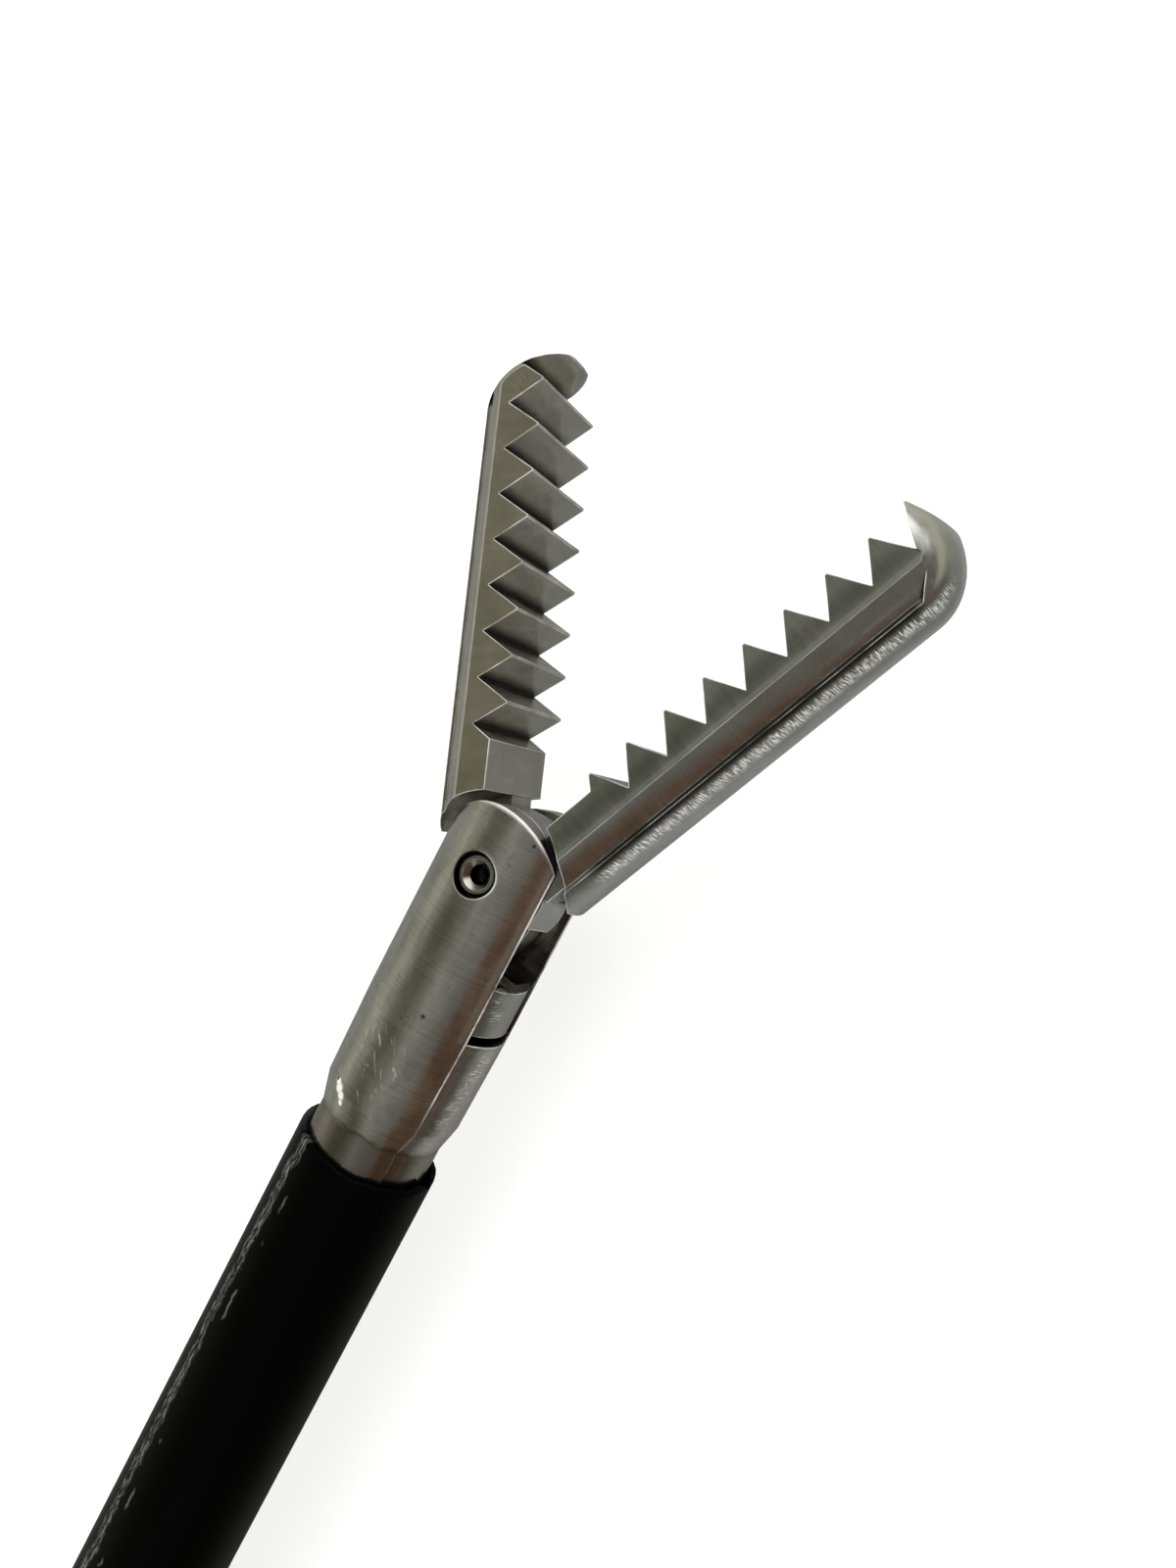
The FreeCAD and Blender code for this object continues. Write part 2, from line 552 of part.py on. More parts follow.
panel = cut("sidePanels", form("panelForm", "handleHalf + 1", [
    (f"-{front} - 5", "-housingHigh * 0.5", "cornerRad * 0.5"),
    (f"-{front} - 5", "housingHigh * 0.5", "cornerRad * 0.5"),
    (f"-{front} - 9", "housingHigh - 4", "cornerRad * 0.5"),
    (f"-{back} + 11", "housingHigh - 4", "cornerRad * 0.5"),
    (f"-{back} + 4.5", "housingHigh * 0.3", "cornerRad * 0.5"),
    (f"-{back} + 4.5", "-housingHigh * 0.2", "cornerRad * 0.5")], None),
    box("panelCore", f"-{back}", f"-{front}", "-housingHigh", "housingHigh",
        "-handleHalf + panelDeep", "handleHalf - panelDeep"))
slit = plate("leverSlit", "slitHalf", [
    (f"-{lever} + 9", "leverArm + 7.5"), (f"-{lever} - 9", "leverArm + 7.5"),
    (f"-{back} - 2", "-housingHigh * 0.35"), (f"-{back} - 2", "-housingHigh - 12"),
    (f"-{lever} + 2", "-housingHigh - 12"), (f"-{lever} + 9", "-housingHigh + 4")])
seat_low = "handleHalf - panelDeep - headHigh - 0.1"
grip = label(cut("grip", fuse("gripWhole", housing, finger_ring), panel, slit,
                 cylinder("gripChamber", f"{chamber} + fitGap", "9.1", x=f"-{front} - 9.1",
                          along=alongX),
                 cylinder("gripBore", f"{ferrule} + 0.3", "12", x=f"-{front} - 19", along=alongX),
                 cylinder("gripBoltHole", "boltRad + fitGap", "2 * handleHalf + 2", x=f"-{lever}",
                          y="leverArm", z="-handleHalf - 1"),
                 cylinder("gripHeadSeat", "headRad + 0.1", "4", x=f"-{lever}", y="leverArm",
                          z=seat_low),
                 cylinder("gripNutSeat", "headRad + 0.1", "4", x=f"-{lever}", y="leverArm",
                          z=f"-({seat_low}) - 4"),
                 cylinder("gripPlugHole", "bushRad", "12", x=f"-{plug}", y="leverArm + 8",
                          along=alongY),
                 cylinder("gripPortHole", "portStem", "housingHigh", x=f"-{port}",
                          y=f"{chamber} + 2", along=alongY)), "grip")

# Thumb lever, drawn from its pivot and turned to its open place
lever_form = form("leverForm", "leverThick", [
    ("-leverWide", "leverWide", "leverWide * 0.8"), ("leverWide", "leverWide", "leverWide * 0.8"),
    ("leverWide", "-leverWide * 2.5", "armBlend"), ("-thumbX + 11", "-thumbY + 8", "leverThick"),
    ("-thumbX - 4", "-thumbY + 12", "leverThick"), ("-leverWide * 1.1", "-leverWide * 2.7", "armBlend")],
    "leverRim")
lever_ring = ring("leverRing", "leverThick + 1", "thumbRad", thumb_hole, "leverRim",
                  "-thumbX", "-thumbY")
lever_hole = plate("leverVoid", "10", circles=[(thumb_hole, "-thumbX", "-thumbY")])
ball_slot = box("leverSocket", "-ballRad - runGap", "ballRad + runGap",
                "-leverArm - ballRad - 0.2", "-leverArm + ballRad + 0.1", "-3", "3")
rod_slot = box("leverMouth", "0", "8", "-leverArm - 1.9", "-leverArm + 1.9", "-3", "3")
thumb_lever = label(cut("thumb_lever", fuse("leverWhole", lever_form, lever_ring), lever_hole,
                        ball_slot, rod_slot,
                        cylinder("leverEye", "boltRad + runGap", "8", z="-4")), "thumb_lever")
thumb_liner = label(ring("thumb_liner", "leverThick + 2", f"{thumb_hole} - fitGap",
                         f"{thumb_hole} - linerWall", "linerWall * 0.4", "-thumbX", "-thumbY"),
                    "thumb_liner")
for swung in (thumb_lever, thumb_liner):
    swung.Placement.Rotation = FreeCAD.Rotation(V(0, 0, 1), -num("leverHalf"))
    place(swung, x=f"-{lever}", y="leverArm")
lever_bolt = label(cut("lever_bolt", fuse(
    "boltForm", cylinder("boltShank", "boltRad", f"2 * ({seat_low} + headHigh)", x=f"-{lever}",
                         y="leverArm", z=f"-({seat_low}) - headHigh"),
    cylinder("boltHead", "headRad", "headHigh", x=f"-{lever}", y="leverArm", z=seat_low)),
    box("boltSlot", f"-{lever} - 5", f"-{lever} + 5", "leverArm - 0.4", "leverArm + 0.4",
        f"{seat_low} + headHigh - 0.6", "handleHalf + 1")), "lever_bolt")
hexagon = [(f"headRad * cos({60 * i})", f"headRad * sin({60 * i})") for i in range(6)]
lever_nut = label(cut("lever_nut", plate("nutForm", "headHigh / 2", hexagon),
                      cylinder("nutBore", "boltRad", "4", z="-2")), "lever_nut")
place(lever_nut, x=f"-{lever}", y="leverArm", z=f"-({seat_low}) - headHigh / 2")

# Electrode plug and flush port on top of the housing
plug_bush = label(cut("plug_bush",
                      cylinder("bushForm", "bushRad - fitGap", "9", x=f"-{plug}",
                               y="leverArm + 8.1", along=alongY),
                      cylinder("bushBore", "plugRoot + fitGap", "12", x=f"-{plug}",
                               y="leverArm + 9.9", along=alongY)), "plug_bush")
electrode_plug = label(fuse("electrode_plug",
                            cylinder("plugStem", "plugRoot", "12", x=f"-{plug}", y="leverArm + 10",
                                     along=alongY),
                            cylinder("plugShank", "plugRad", "10.6", x=f"-{plug}",
                                     y="leverArm + 17.4", along=alongY),
                            sphere("plugTip", "plugRad", x=f"-{plug}", y="leverArm + 28")),
                       "electrode_plug")
flush_port = label(cut("flush_port",
                       fuse("portForm",
                            cylinder("portShank", "portStem - fitGap",
                                     f"housingHigh + 4 - {chamber} - 2.1", x=f"-{port}",
                                     y=f"{chamber} + 2.1", along=alongY),
                            cylinder("portCollar", "3.4", "1.5", x=f"-{port}",
                                     y="housingHigh + 0.02", along=alongY),
                            cylinder("portLip", "3.9", "1.2", x=f"-{port}", y="housingHigh + 8",
                                     along=alongY),
                            cylinder("portBarrel", "3.1", "7.5", x=f"-{port}",
                                     y="housingHigh + 1.5", along=alongY)),
                       cone("portTaper", "1.95", "2.14", "7.5", x=f"-{port}", y="housingHigh + 1.8",
                            along=alongY),
                       cylinder("portBore", "1.2", "30", x=f"-{port}", y=chamber,
                                along=alongY)), "flush_port")

doc.recompute()

pieces = [jaw_right, jaw_left, clevis, pivot_pin, slider, drive_pin, outer_tube, sleeve, push_rod,
          rod_ball, rod_seal, knob, knob_screw, tube_ferrule, front_bearing, rear_bearing, grip,
          thumb_lever, thumb_liner, lever_bolt, lever_nut, plug_bush, electrode_plug, flush_port]

for obj in doc.Objects:
    bad = [s for s in obj.State if s in ("Invalid", "Error")]
    if bad:
        raise RuntimeError(f"{obj.Name} is {bad}")
for piece in pieces:
    shape = piece.Shape
    if shape.isNull() or not shape.isValid() or len(shape.Solids) != 1:
        raise RuntimeError(f"{piece.Label}: {len(shape.Solids)} solids, valid {shape.isValid()}")
    shape.exportStep(f"parts/{piece.Label}.step")
    print(piece.Label, round(shape.Volume, 3))
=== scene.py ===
import bpy
import bmesh
import math
from mathutils import Matrix, Vector, noise


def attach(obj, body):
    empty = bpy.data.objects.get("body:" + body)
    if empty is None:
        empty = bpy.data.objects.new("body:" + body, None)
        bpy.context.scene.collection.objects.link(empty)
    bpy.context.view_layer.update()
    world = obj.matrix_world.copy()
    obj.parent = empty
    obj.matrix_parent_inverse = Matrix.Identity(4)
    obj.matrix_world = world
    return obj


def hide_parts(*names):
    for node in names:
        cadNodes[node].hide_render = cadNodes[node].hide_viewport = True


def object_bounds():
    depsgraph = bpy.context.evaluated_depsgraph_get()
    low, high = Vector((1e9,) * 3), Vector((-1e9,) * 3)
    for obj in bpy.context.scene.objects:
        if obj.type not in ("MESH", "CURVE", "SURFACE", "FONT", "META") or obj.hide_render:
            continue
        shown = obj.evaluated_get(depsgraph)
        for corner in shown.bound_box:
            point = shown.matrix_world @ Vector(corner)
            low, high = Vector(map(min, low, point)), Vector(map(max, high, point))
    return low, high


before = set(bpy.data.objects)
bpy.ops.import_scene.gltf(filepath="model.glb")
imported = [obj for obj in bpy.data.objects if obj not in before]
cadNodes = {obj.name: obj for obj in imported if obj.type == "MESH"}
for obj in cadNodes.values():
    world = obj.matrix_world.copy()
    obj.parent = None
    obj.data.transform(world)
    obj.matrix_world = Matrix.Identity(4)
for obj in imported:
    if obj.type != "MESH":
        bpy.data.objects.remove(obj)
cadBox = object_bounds()
mm = 0.001
noiseSpan = (0.3, 0.7)    # nearly all of a noise's values lie between these
edgeSpan = (0.90, 0.995)  # how well a rounded normal matches the face's, from an edge to an open face


# small helpers for shader trees

def node(tree, kind, values=None, **props):
    made = tree.nodes.new("ShaderNode" + kind)
    for key, value in props.items():
        setattr(made, key, value)
    for key, value in (values or {}).items():
        if isinstance(value, bpy.types.NodeSocket):
            tree.links.new(value, made.inputs[key])
        else:
            made.inputs[key].default_value = value
    return made


def sums(tree, operation, a, b=0.0):
    return node(tree, "Math", {0: a, 1: b}, operation=operation).outputs[0]


def product(tree, first, *others):
    for other in others:
        first = sums(tree, "MULTIPLY", first, other)
    return first


def largest(tree, first, *others):
    for other in others:
        first = sums(tree, "MAXIMUM", first, other)
    return first


def distance(tree, value, place):
    return sums(tree, "ABSOLUTE", sums(tree, "SUBTRACT", value, place))


def spread(tree, value, low, high, toLow, toHigh):
    return node(tree, "MapRange", {"Value": value, "From Min": low, "From Max": high,
                                   "To Min": toLow, "To Max": toHigh}).outputs["Result"]


def rise(tree, value, span):
    return spread(tree, value, *span, 0, 1)


def fall(tree, value, span):
    return spread(tree, value, *span, 1, 0)


def blotches(tree, point, scale, detail, distortion=0.0):
    # a noise from about 0.3 to 0.7
    return node(tree, "TexNoise", {"Vector": point, "Scale": scale, "Detail": detail,
                                   "Distortion": distortion}).outputs["Fac"]


def mixed(tree, share, under, over):
    # one colour over another by share; each is a socket or three numbers
    ends = [c if isinstance(c, bpy.types.NodeSocket) else (*c, 1) for c in (under, over)]
    return node(tree, "Mix", {"Factor": share, 6: ends[0], 7: ends[1]}, data_type="RGBA").outputs[2]


def colourSteps(tree, share, steps):
    # a smooth run of colours; the first two steps are its ends
    made = node(tree, "ValToRGB", {0: share})
    ramp = made.color_ramp
    ramp.interpolation = "EASE"
    for number, (place, colour) in enumerate(steps):
        stop = ramp.elements[number] if number < 2 else ramp.elements.new(place)
        stop.position = place
        stop.color = (*colour, 1)
    return made.outputs[0]


def straightPoint(tree, centre=(0, 0, 0), turn=0.0, stretch=(1, 1, 1)):
    # millimetres from centre, turned about Z and then stretched along the new axes
    at = node(tree, "TexCoord").outputs["Object"]
    moved = node(tree, "Mapping", {"Vector": at, "Location": [-c for c in centre]}).outputs[0]
    turned = node(tree, "Mapping", {"Vector": moved, "Rotation": (0, 0, -math.radians(turn)),
                                    "Scale": (1000, 1000, 1000)}).outputs[0]
    return node(tree, "Mapping", {"Vector": turned, "Scale": stretch}).outputs[0]


def roundPoint(tree, centre, along=1.0, around=1.0):
    # x along the shaft in millimetres, the other two going round it
    leastRadius = 0.05
    at = node(tree, "TexCoord").outputs["Object"]
    moved = node(tree, "Mapping", {"Vector": at, "Location": [-1000 * c for c in centre],
                                   "Scale": (1000, 1000, 1000)}).outputs[0]
    x, y, z = node(tree, "SeparateXYZ", {0: moved}).outputs
    radius = sums(tree, "SQRT", sums(tree, "ADD", sums(tree, "POWER", y, 2.0),
                                     sums(tree, "POWER", z, 2.0)))
    radius = largest(tree, radius, leastRadius)
    return node(tree, "CombineXYZ", {
        0: product(tree, x, along),
        1: product(tree, sums(tree, "DIVIDE", y, radius), around),
        2: product(tree, sums(tree, "DIVIDE", z, radius), around)}).outputs[0]


def edgeShare(tree, width):
    # 1 along the edges and 0 on open faces
    soft = node(tree, "Bevel", {"Radius": width * mm}, samples=8).outputs[0]
    face = node(tree, "NewGeometry").outputs["Normal"]
    match = node(tree, "VectorMath", {0: soft, 1: face}, operation="DOT_PRODUCT").outputs["Value"]
    return fall(tree, match, edgeSpan)


def nearTo(tree, place, size):
    # 1 at a place of the object, fading out at size millimetres
    at = node(tree, "TexCoord").outputs["Object"]
    away = node(tree, "VectorMath", {0: at, 1: [c * mm for c in place]}, operation="DISTANCE")
    return fall(tree, away.outputs["Value"], (size * 0.5 * mm, size * mm))


def startFinish(name, **sockets):
    mat = bpy.data.materials.new(name)
    mat.use_nodes = True
    shader = mat.node_tree.nodes["Principled BSDF"]
    for key, value in sockets.items():
        shader.inputs[key.replace("_", " ")].default_value = value
    return mat, mat.node_tree, shader


def setBump(tree, shader, height, depth, edge=0.0):
    bump = node(tree, "Bump", {"Height": height, "Distance": depth * mm, "Strength": 1.0})
    if edge:
        soft = node(tree, "Bevel", {"Radius": edge * mm}, samples=6)
        tree.links.new(soft.outputs[0], bump.inputs["Normal"])
    tree.links.new(bump.outputs[0], shader.inputs["Normal"])


# what every steel shares: grains are per millimetre, spans are where a mark starts and ends,
# and a noise is its scale, detail and distortion
steelMarks = {
    "brushNoise": (1.0, 3.0), "patchNoise": (1.3, 3.0, 0.4), "nickNoise": (1.0, 4.0, 0.8),
    "lineRound": 1.2, "smudgeRound": (0.45, 2.6), "nickRound": (1.1, 2.4),
    "smudge": (0.6, 0.6, 0.6), "nick": (0.5, 1.6, 1.6), "nickTurn": 20,
    "nickMiddle": 0.5, "hairline": (0.0, 0.006), "scratched": (0.52, 0.6),
    "rub": (1.1, 1.1, 1.1), "rubNoise": (1.0, 3.0), "rubbed": (0.36, 0.58), "rubbedMost": 0.9,
    "open": (0.76, 0.9), "glint": 0.9,
    "scuffs": {"turn": 35, "grain": (1.5, 9.0, 9.0), "noise": (1.0, 2.0), "share": (0.6, 0.68, 0, 0.3)},
    "ticks": {"turn": 4, "grain": (52.0, 2.6, 2.6), "noise": (1.0, 1.0), "share": (0.5, 0.7, 0, 0.55)},
    "bright": (0.92, 0.91, 0.87), "scratchDark": 0.3, "shadeColour": (0.012, 0.011, 0.009),
    "metal": (1.0, 0.25), "smoother": 0.03, "rougher": 0.05, "lineHeight": 0.5,
}
# what a steel has where its own look says nothing
plainSteel = {
    "round": False, "turn": 0, "brush": 0.3, "scratch": 0.5, "brightEdgeWidth": 0.06, "rub": 0.1,
    "reach": 0.55, "hollows": (0.30, 0.82), "paintedShade": 0.92, "rail": 0, "band": 0,
    "calm": [], "shine": [], "glints": [], "scuffs": [], "ticks": [], "pits": [],
}
# the side of a jaw: along is from the pin, across is from the jaw's middle, high is from its middle plane
railLook = {
    "strokeTurn": 16, "strokeGrain": (44.0, 3.0, 3.0), "strokeNoise": (1.0, 1.0),
    "stroke": (0.44, 0.66, 0.05, 0.9),
    "across": (1.1, 1.5), "start": (2.6, 3.2), "railEnd": (15.8, 16.6),
    "railLow": (0.62, 0.95), "railHigh": (1.1, 1.3),
    "rootLow": (1.15, 1.38), "rootHigh": (1.45, 1.47), "rootEnd": (15.0, 15.4),
    "flat": (1.95, 2.0), "footPlace": 1.16, "footWidth": (0.03, 0.17),
    "rootShadePlace": 0.72, "rootShadeWidth": (0.1, 0.45), "rootShadeTint": (0.05, 0.048, 0.04),
    "hazeLow": (3.0, 13.5, 1.93, 1.60), "hazeSoft": (-0.16, 0.14), "hazeTop": (2.0, 2.04),
    "hazeEnd": (16.0, 16.6), "hazeWorn": 0.075, "hazeTint": (0.42, 0.52, 0.50),
}
# painted shade: the neck is darker and browner behind the cone, with a darker shadow line where they meet
neckLook = {"wander": 0.12, "shadeLine": (0.02, 0.16, 0.75, 0), "span": (-0.05, 0.25), "shadeBand": 0.55,
            "tint": (0.16, 0.125, 0.08)}


def steelPoints(tree, look, marks):
    # where the brush lines, the smudges and the nicks are read
    centre, turn = look["centre"], look["turn"]
    if look["round"]:
        return (roundPoint(tree, centre, look["lines"], marks["lineRound"]),
                roundPoint(tree, centre, *marks["smudgeRound"]),
                roundPoint(tree, centre, *marks["nickRound"]))
    return (straightPoint(tree, centre, turn, look["grain"]),
            straightPoint(tree, centre, 0, marks["smudge"]),
            straightPoint(tree, centre, turn + marks["nickTurn"], marks["nick"]))


def edgeWearAndHighlight(tree, look, marks, rubs, hollow):
    # edges are rubbed bright in places, partly real wear and partly a painted highlight, but not in a hollow
    # or at a calm spot
    paleShare = product(tree, edgeShare(tree, look["brightEdgeWidth"]),
                   spread(tree, rubs, *marks["rubbed"], look["rub"], marks["rubbedMost"]),
                   rise(tree, hollow, marks["open"]))
    for place, size in look["calm"]:
        paleShare = product(tree, paleShare, sums(tree, "SUBTRACT", 1.0, nearTo(tree, place, size)))
    return paleShare


def spotWearAndHighlights(tree, look, marks, paleShare):
    # painted highlights: shine brightens edges and glints brighten spots at the given places; scuffs and
    # ticks are pale wear marks
    for place, size, width in look["shine"]:
        paleShare = largest(tree, paleShare, product(tree, edgeShare(tree, width), nearTo(tree, place, size)))
    for place, size in look["glints"]:
        paleShare = largest(tree, paleShare, product(tree, nearTo(tree, place, size), marks["glint"]))
    for kind in ("scuffs", "ticks"):
        mark = marks[kind]
        for place, size in look[kind]:
            point = straightPoint(tree, look["centre"], mark["turn"], mark["grain"])
            lines = spread(tree, blotches(tree, point, *mark["noise"]), *mark["share"])
            paleShare = largest(tree, paleShare, product(tree, nearTo(tree, place, size), lines))
    return paleShare


def jawMarks(tree, look, marks):
    inJaw = node(tree, "SeparateXYZ", {0: straightPoint(tree, look["centre"], look["turn"])}).outputs
    along, high = inJaw[0], sums(tree, "ABSOLUTE", inJaw[2])
    across = product(tree, inJaw[1], look["rail"])
    outside = product(tree, rise(tree, across, marks["across"]), rise(tree, along, marks["start"]))
    # short bright strokes across the proud back rail, painted sparkle highlights
    point = straightPoint(tree, look["centre"], look["turn"] + marks["strokeTurn"], marks["strokeGrain"])
    railSparkle = product(tree, rise(tree, high, marks["railLow"]), fall(tree, high, marks["railHigh"]),
                      outside, fall(tree, along, marks["railEnd"]),
                      spread(tree, blotches(tree, point, *marks["strokeNoise"]), *marks["stroke"]))
    # painted shadow: a dark line where the side steps down beside the rail
    railShadowLine = product(tree, rise(tree, high, marks["rootLow"]), fall(tree, high, marks["rootHigh"]),
                       outside, fall(tree, along, marks["rootEnd"]))
    # the tooth flats get painted shade near the roots of the teeth, and a paler line along their foot, a
    # painted highlight
    flat = rise(tree, high, marks["flat"])
    foot = spread(tree, distance(tree, across, marks["footPlace"]), *marks["footWidth"], look["foot"], 0)
    pale = product(tree, flat, largest(tree, foot, look["lift"]))
    rootShade = product(tree, flat, fall(tree, distance(tree, across, marks["rootShadePlace"]), marks["rootShadeWidth"]))
    dark = largest(tree, product(tree, railShadowLine, look["root"]), product(tree, rootShade, look["rootShade"]))
    # the side panel is hazy and grey along its upper part, more so towards the nose
    above = sums(tree, "SUBTRACT", high, spread(tree, along, *marks["hazeLow"]))
    haze = product(tree, rise(tree, above, marks["hazeSoft"]),
                   spread(tree, high, *marks["hazeTop"], look["haze"], 0),
                   fall(tree, along, marks["hazeEnd"]))
    paleShare = largest(tree, railSparkle, product(tree, haze, marks["hazeWorn"]))
    return paleShare, [(dark, marks["rootShadeTint"]), (pale, look["footTint"]), (haze, marks["hazeTint"])]


def neckShade(tree, band, rubs, look):
    at = node(tree, "TexCoord").outputs["Object"]
    reach = product(tree, node(tree, "SeparateXYZ", {0: at}).outputs[0], 1 / mm)
    wander = spread(tree, rubs, *noiseSpan, -look["wander"], look["wander"])
    shadeLine = distance(tree, reach, sums(tree, "ADD", band, wander))
    return largest(tree, spread(tree, reach, *[band + s for s in look["span"]], look["shadeBand"], 0),
                   spread(tree, shadeLine, *look["shadeLine"]))


def brushedSteel(name, ownLook, marks):
    look = {**plainSteel, **ownLook}
    mat, tree, shader = startFinish(name, Metallic=1.0)
    lines, smudges, nicks = steelPoints(tree, look, marks)
    brush = blotches(tree, lines, *marks["brushNoise"])
    patch = blotches(tree, smudges, *marks["patchNoise"])
    nick = blotches(tree, nicks, *marks["nickNoise"])
    rubs = blotches(tree, straightPoint(tree, look["centre"], look["turn"], marks["rub"]), *marks["rubNoise"])
    hollow = node(tree, "AmbientOcclusion", {"Distance": look["reach"] * mm}, samples=6).outputs["AO"]
    scratch = product(tree, fall(tree, distance(tree, nick, marks["nickMiddle"]), marks["hairline"]),
                      spread(tree, patch, *marks["scratched"], 0, look["scratch"]))
    for place, size in look["pits"]:
        scratch = largest(tree, scratch, nearTo(tree, place, size))
    paleShare = edgeWearAndHighlight(tree, look, marks, rubs, hollow)

    share = sums(tree, "ADD", product(tree, brush, look["brush"]),
                 product(tree, patch, 1 - look["brush"]))
    colour = mixed(tree, rise(tree, share, noiseSpan), look["dark"], look["light"])
    if look["rail"]:
        jawPaleShare, layers = jawMarks(tree, look, railLook)
        paleShare = largest(tree, paleShare, jawPaleShare)
        for part, tint in layers:
            colour = mixed(tree, part, colour, tint)
    if look["band"]:
        # painted shade on the neck behind the fork's cone
        colour = mixed(tree, neckShade(tree, look["band"], rubs, neckLook), colour, neckLook["tint"])
    paleShare = spotWearAndHighlights(tree, look, marks, paleShare)
    # pale edges and spots: partly real wear, partly painted highlights
    colour = mixed(tree, paleShare, colour, marks["bright"])
    colour = mixed(tree, scratch, colour, [c * marks["scratchDark"] for c in look["dark"]])
    # painted shade: the colour darkens to near-black where ambient occlusion finds a hollow or a gap between
    # parts
    paintedShade = spread(tree, hollow, *look["hollows"], look["paintedShade"], 0)
    colour = mixed(tree, paintedShade, colour, marks["shadeColour"])
    tree.links.new(colour, shader.inputs["Base Color"])

    # bright edges and spots, partly wear and partly painted highlight, turn less metallic so that they
    # scatter the light that open steel mirrors
    tree.links.new(spread(tree, paleShare, 0, 1, *marks["metal"]), shader.inputs["Metallic"])
    rough = sums(tree, "ADD", spread(tree, patch, *noiseSpan, -look["wander"], look["wander"]),
                 spread(tree, brush, *noiseSpan, look["rough"] - marks["smoother"],
                        look["rough"] + marks["rougher"]))
    tree.links.new(rough, shader.inputs["Roughness"])
    height = sums(tree, "SUBTRACT", product(tree, brush, marks["lineHeight"]), scratch)
    setBump(tree, shader, height, look["depth"], look["edge"])
    return mat


plasticMarks = {"gloss": 0.4, "grainDetail": 2.0, "patchNoise": (0.12, 4.0, 0.5), "patched": (0.35, 0.7),
                "roughSwing": 0.06}


def mouldedPlastic(name, look, marks):
    mat, tree, shader = startFinish(name, Specular_IOR_Level=marks["gloss"])
    point = straightPoint(tree)
    grain = blotches(tree, point, look["grain"], marks["grainDetail"])
    paleShare = blotches(tree, point, *marks["patchNoise"])
    colour = mixed(tree, rise(tree, paleShare, marks["patched"]), look["dark"], look["light"])
    rough = spread(tree, paleShare, *noiseSpan, look["rough"] - marks["roughSwing"],
                   look["rough"] + marks["roughSwing"])
    tree.links.new(colour, shader.inputs["Base Color"])
    tree.links.new(rough, shader.inputs["Roughness"])
    setBump(tree, shader, grain, look["depth"], look["edge"])
    return mat


